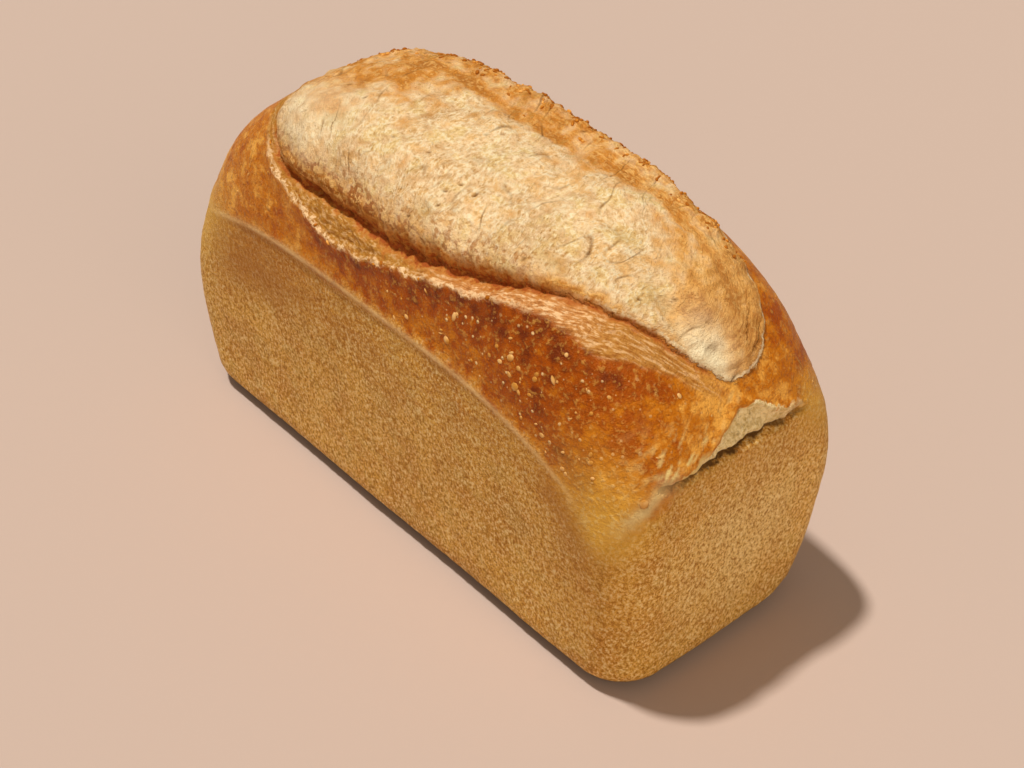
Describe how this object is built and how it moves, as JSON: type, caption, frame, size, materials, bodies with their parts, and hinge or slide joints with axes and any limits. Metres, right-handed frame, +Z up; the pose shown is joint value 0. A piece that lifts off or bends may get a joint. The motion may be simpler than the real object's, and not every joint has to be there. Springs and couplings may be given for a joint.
{
  "type": "tin loaf",
  "caption": "Whole white tin loaf with straight tin-shaped walls, a domed crust and one long slash burst open into a pale bloom.",
  "frame": {"origin": "centre of the flat base, under the middle of the bounding box", "axes": "+X along the loaf towards the end with the tear, +Y across it away from the side with the groove, +Z up"},
  "size_m": [0.2602, 0.109, 0.1586],
  "materials": {
    "crust": "baked bread crust, matte golden tan where the tin held it, satin brown on the dome, pale dry crumb in the bloom"
  },
  "bodies": {
    "root": {"loaf": "crust"}
  },
  "joints": []
}
